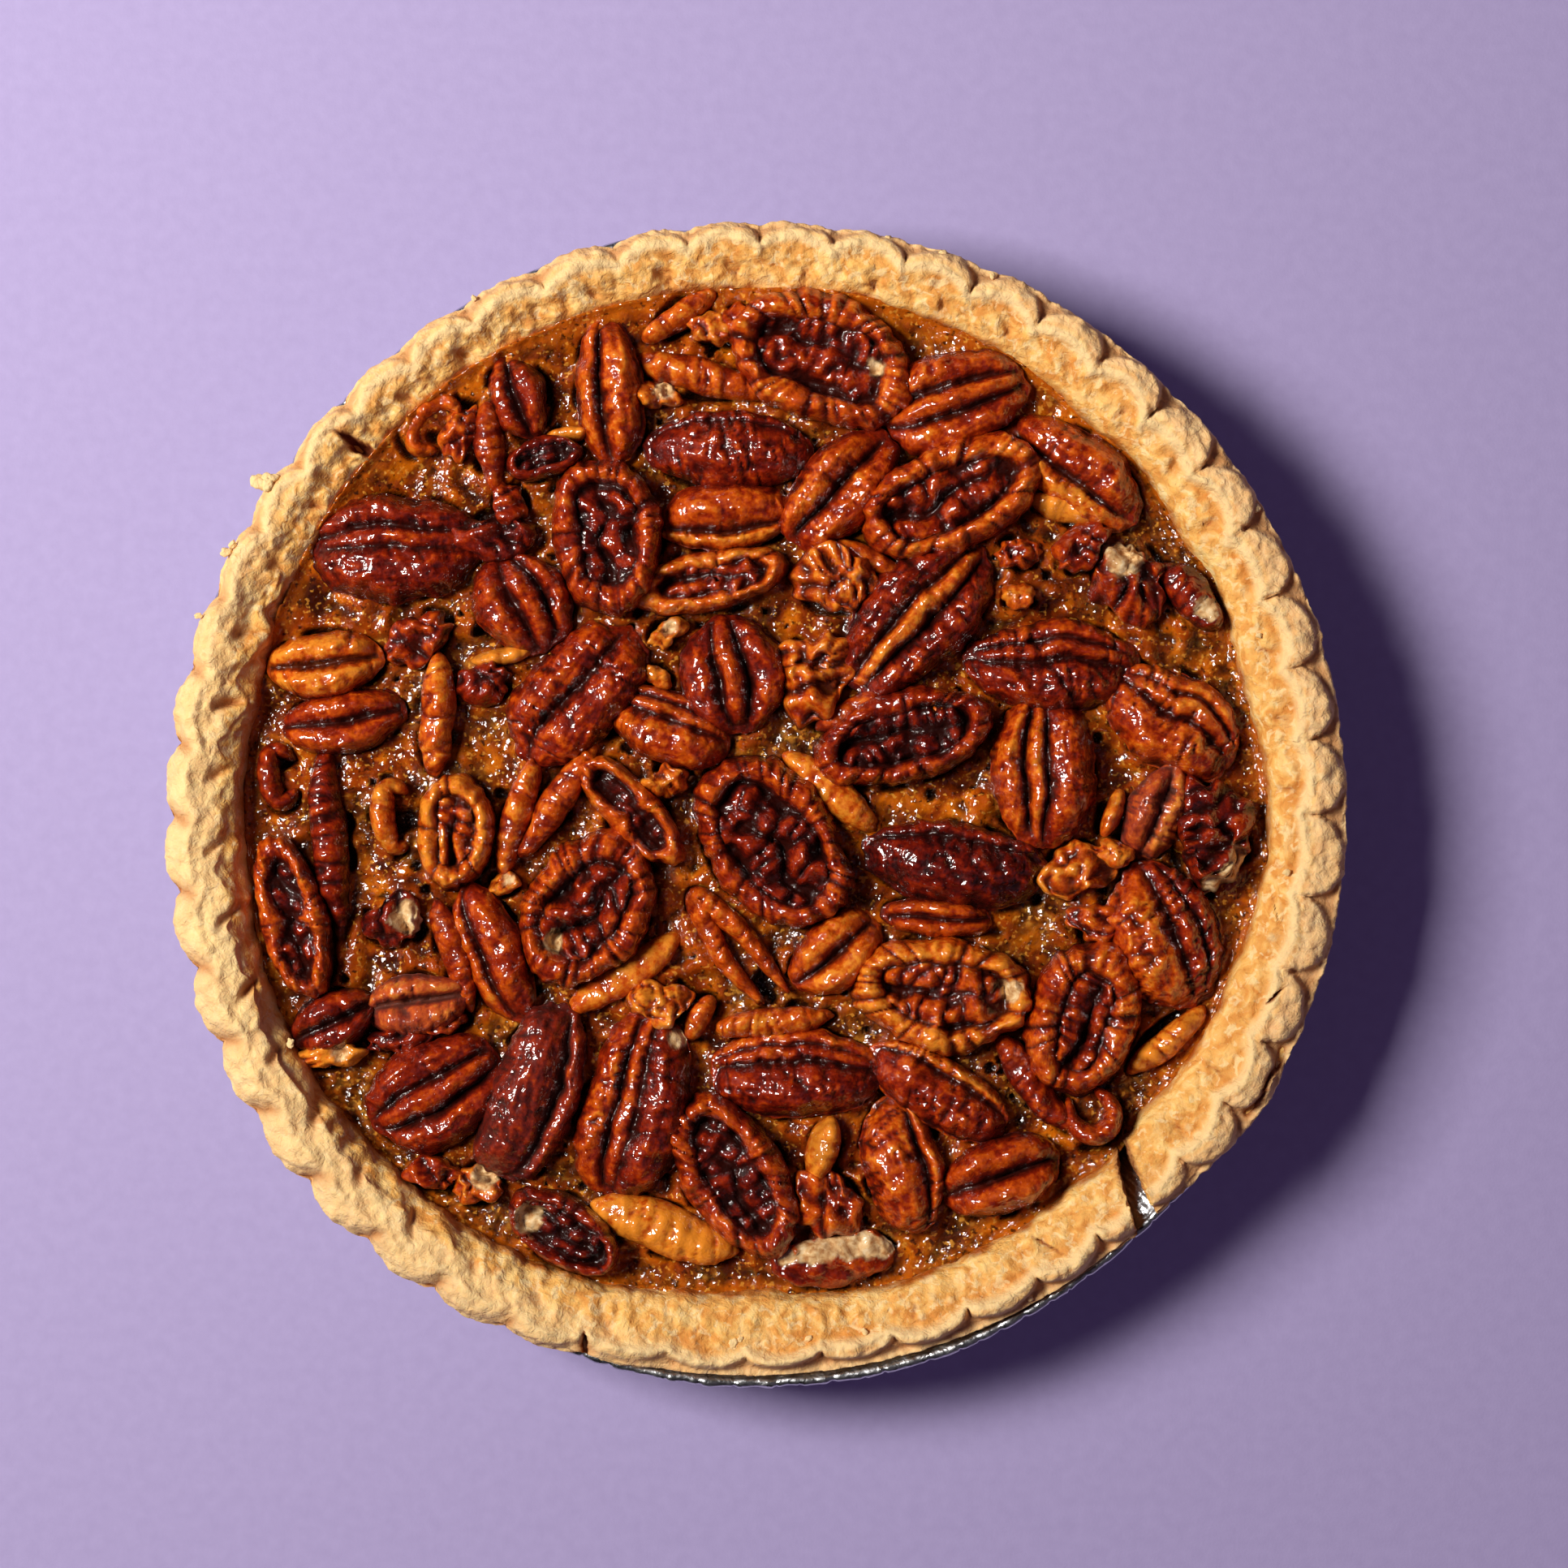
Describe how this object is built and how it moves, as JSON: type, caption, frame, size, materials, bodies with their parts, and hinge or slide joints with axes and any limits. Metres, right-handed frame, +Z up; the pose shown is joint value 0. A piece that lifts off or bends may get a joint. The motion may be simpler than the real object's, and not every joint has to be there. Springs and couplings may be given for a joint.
{
  "type": "pecan pie",
  "caption": "Whole round pecan pie in its foil tin: crimped crust with an open gap and cracks in the rim, bubbly custard and glazed nut halves on top.",
  "frame": {"origin": "middle of the tin's base, on the table", "axes": "+Z up out of the pie; the open gap in the rim lies at 45 degrees between +X and -Y"},
  "size_m": [0.2472, 0.2436, 0.0382],
  "materials": {
    "foil": "bright pressed foil, finely ribbed, with a rolled rim",
    "crust": "baked shortcrust, dry and flaky, pale gold with tan patches, caramel-stained where it meets the filling",
    "filling": "amber-brown baked syrup custard, pitted with burst bubbles, sticky gloss",
    "pecan": "roasted pecans, red-brown to orange, wrinkled, syrup-glazed, a few pale broken ends"
  },
  "bodies": {
    "root": {"foil_tin": "foil", "crust": "crust", "filling": "filling", "pecan_back_01": "pecan", "pecan_back_02": "pecan", "pecan_face_03": "pecan", "pecan_back_04": "pecan", "pecan_back_05": "pecan", "pecan_back_06": "pecan", "pecan_hook_07": "pecan", "pecan_finger_08": "pecan", "pecan_hook_09": "pecan", "pecan_face_10": "pecan", "pecan_face_11": "pecan", "pecan_back_12": "pecan", "pecan_face_13": "pecan", "pecan_face_14": "pecan", "pecan_face_15": "pecan", "pecan_finger_16": "pecan", "pecan_face_17": "pecan", "pecan_back_18": "pecan", "pecan_chunk_19": "pecan", "pecan_chunk_20": "pecan", "pecan_back_21": "pecan", "pecan_back_22": "pecan", "pecan_back_23": "pecan", "pecan_face_24": "pecan", "pecan_back_25": "pecan", "pecan_back_26": "pecan", "pecan_back_27": "pecan", "pecan_face_28": "pecan", "pecan_back_29": "pecan", "pecan_face_30": "pecan", "pecan_back_31": "pecan", "pecan_chunk_32": "pecan", "pecan_back_33": "pecan", "pecan_back_34": "pecan", "pecan_back_35": "pecan", "pecan_finger_36": "pecan", "pecan_chunk_37": "pecan", "pecan_back_38": "pecan", "pecan_face_39": "pecan", "pecan_back_40": "pecan", "pecan_hook_41": "pecan", "pecan_finger_42": "pecan", "pecan_back_43": "pecan", "pecan_back_44": "pecan", "pecan_back_45": "pecan", "pecan_finger_46": "pecan", "pecan_back_47": "pecan", "pecan_face_48": "pecan", "pecan_finger_49": "pecan", "pecan_face_50": "pecan", "pecan_back_51": "pecan", "pecan_back_52": "pecan", "pecan_back_53": "pecan", "pecan_back_54": "pecan", "pecan_face_55": "pecan", "pecan_back_56": "pecan", "pecan_chunk_57": "pecan"}
  },
  "joints": []
}
